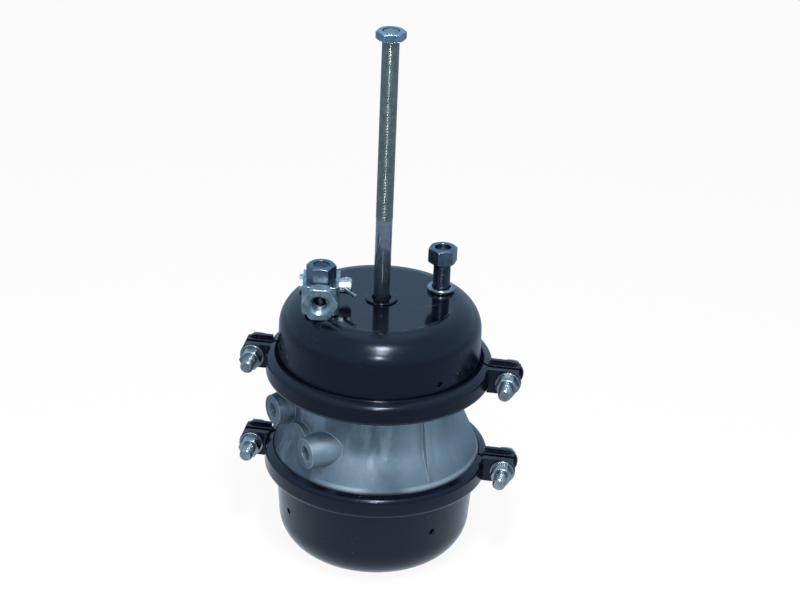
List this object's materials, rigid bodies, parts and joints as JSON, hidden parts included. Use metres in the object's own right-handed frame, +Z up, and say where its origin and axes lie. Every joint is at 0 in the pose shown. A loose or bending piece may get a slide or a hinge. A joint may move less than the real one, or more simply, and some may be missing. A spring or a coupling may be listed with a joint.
{
  "type": "air brake chamber",
  "caption": "Spring and service brake chamber: two pressed domes clamped to a cast flange case, with a threaded push rod, mounting studs, air ports and a loose yoke.",
  "frame": {"origin": "centre of the flat bottom of the spring housing, where the chamber stands", "axes": "+Z up along the push rod; the two mounting studs are on the X axis"},
  "size_m": [0.2493, 0.2124, 0.52],
  "materials": {
    "black_paint": "gloss",
    "cast_aluminium": "as cast, matt",
    "zinc_plate": "bright zinc plated",
    "black_rubber": "matt",
    "spring_steel": "dark, oiled",
    "bare_steel": "satin",
    "bush_plastic": "matt",
    "stud_steel": "dark phosphate"
  },
  "bodies": {
    "chamber": {"service_housing": "black_paint", "spring_housing": "black_paint", "flange_case": "cast_aluminium", "service_clamp_front": "black_paint", "service_clamp_rear": "black_paint", "spring_clamp_front": "black_paint", "spring_clamp_rear": "black_paint", "clamp_bolts": "zinc_plate", "clamp_nuts": "zinc_plate", "clamp_washers": "zinc_plate", "service_diaphragm": "black_rubber", "spring_diaphragm": "black_rubber", "guide_bush": "bush_plastic", "rod_seals": "black_rubber", "snap_ring": "spring_steel", "power_spring": "spring_steel", "return_spring": "spring_steel", "dust_ring": "black_rubber", "left_stud": "stud_steel", "right_stud": "stud_steel", "stud_washer": "zinc_plate", "yoke": "zinc_plate", "dust_plug": "black_rubber"},
    "spring_rod": {"adapter_rod": "bare_steel", "pressure_plate": "cast_aluminium"},
    "push_rod_set": {"push_rod": "zinc_plate", "push_plate": "bare_steel"},
    "rod_nut": {"jam_nut": "zinc_plate"},
    "left_nut": {"left_stud_nut": "zinc_plate"},
    "right_nut": {"right_stud_nut": "zinc_plate"},
    "fork_pin": {"yoke_pin": "zinc_plate", "split_pin": "zinc_plate"}
  },
  "joints": [
    {"name": "spring_rod_slide", "type": "slide", "parent": "chamber", "child": "spring_rod", "axis": [0, 0, 1], "range_m": [-0.057, 0], "stiffness_N_per_m": 600, "springref_m": 0.1, "deforming": ["power_spring", "spring_diaphragm"]},
    {"name": "push_rod_slide", "type": "slide", "parent": "chamber", "child": "push_rod_set", "axis": [0, 0, 1], "range_m": [-0.057, 0], "deforming": ["return_spring", "service_diaphragm"]},
    {"name": "jam_nut_travel", "type": "slide", "parent": "push_rod_set", "child": "rod_nut", "axis": [0, 0, 1], "range_m": [-0.165, 0.11]},
    {"name": "left_nut_travel", "type": "slide", "parent": "chamber", "child": "left_nut", "axis": [0, 0, 1], "range_m": [0, 0.03]},
    {"name": "right_nut_travel", "type": "slide", "parent": "chamber", "child": "right_nut", "axis": [0, 0, 1], "range_m": [0, 0.03]},
    {"name": "fork_pin_turn", "type": "hinge", "parent": "chamber", "child": "fork_pin", "pos_m": [-0.05376, 0.01503, 0.2731], "axis": [0.9164, -0.4003, 0], "range_deg": [-30, 30]}
  ],
  "couplings": [
    {"joint": "push_rod_slide", "follows": "spring_rod_slide", "ratio": 1}
  ]
}
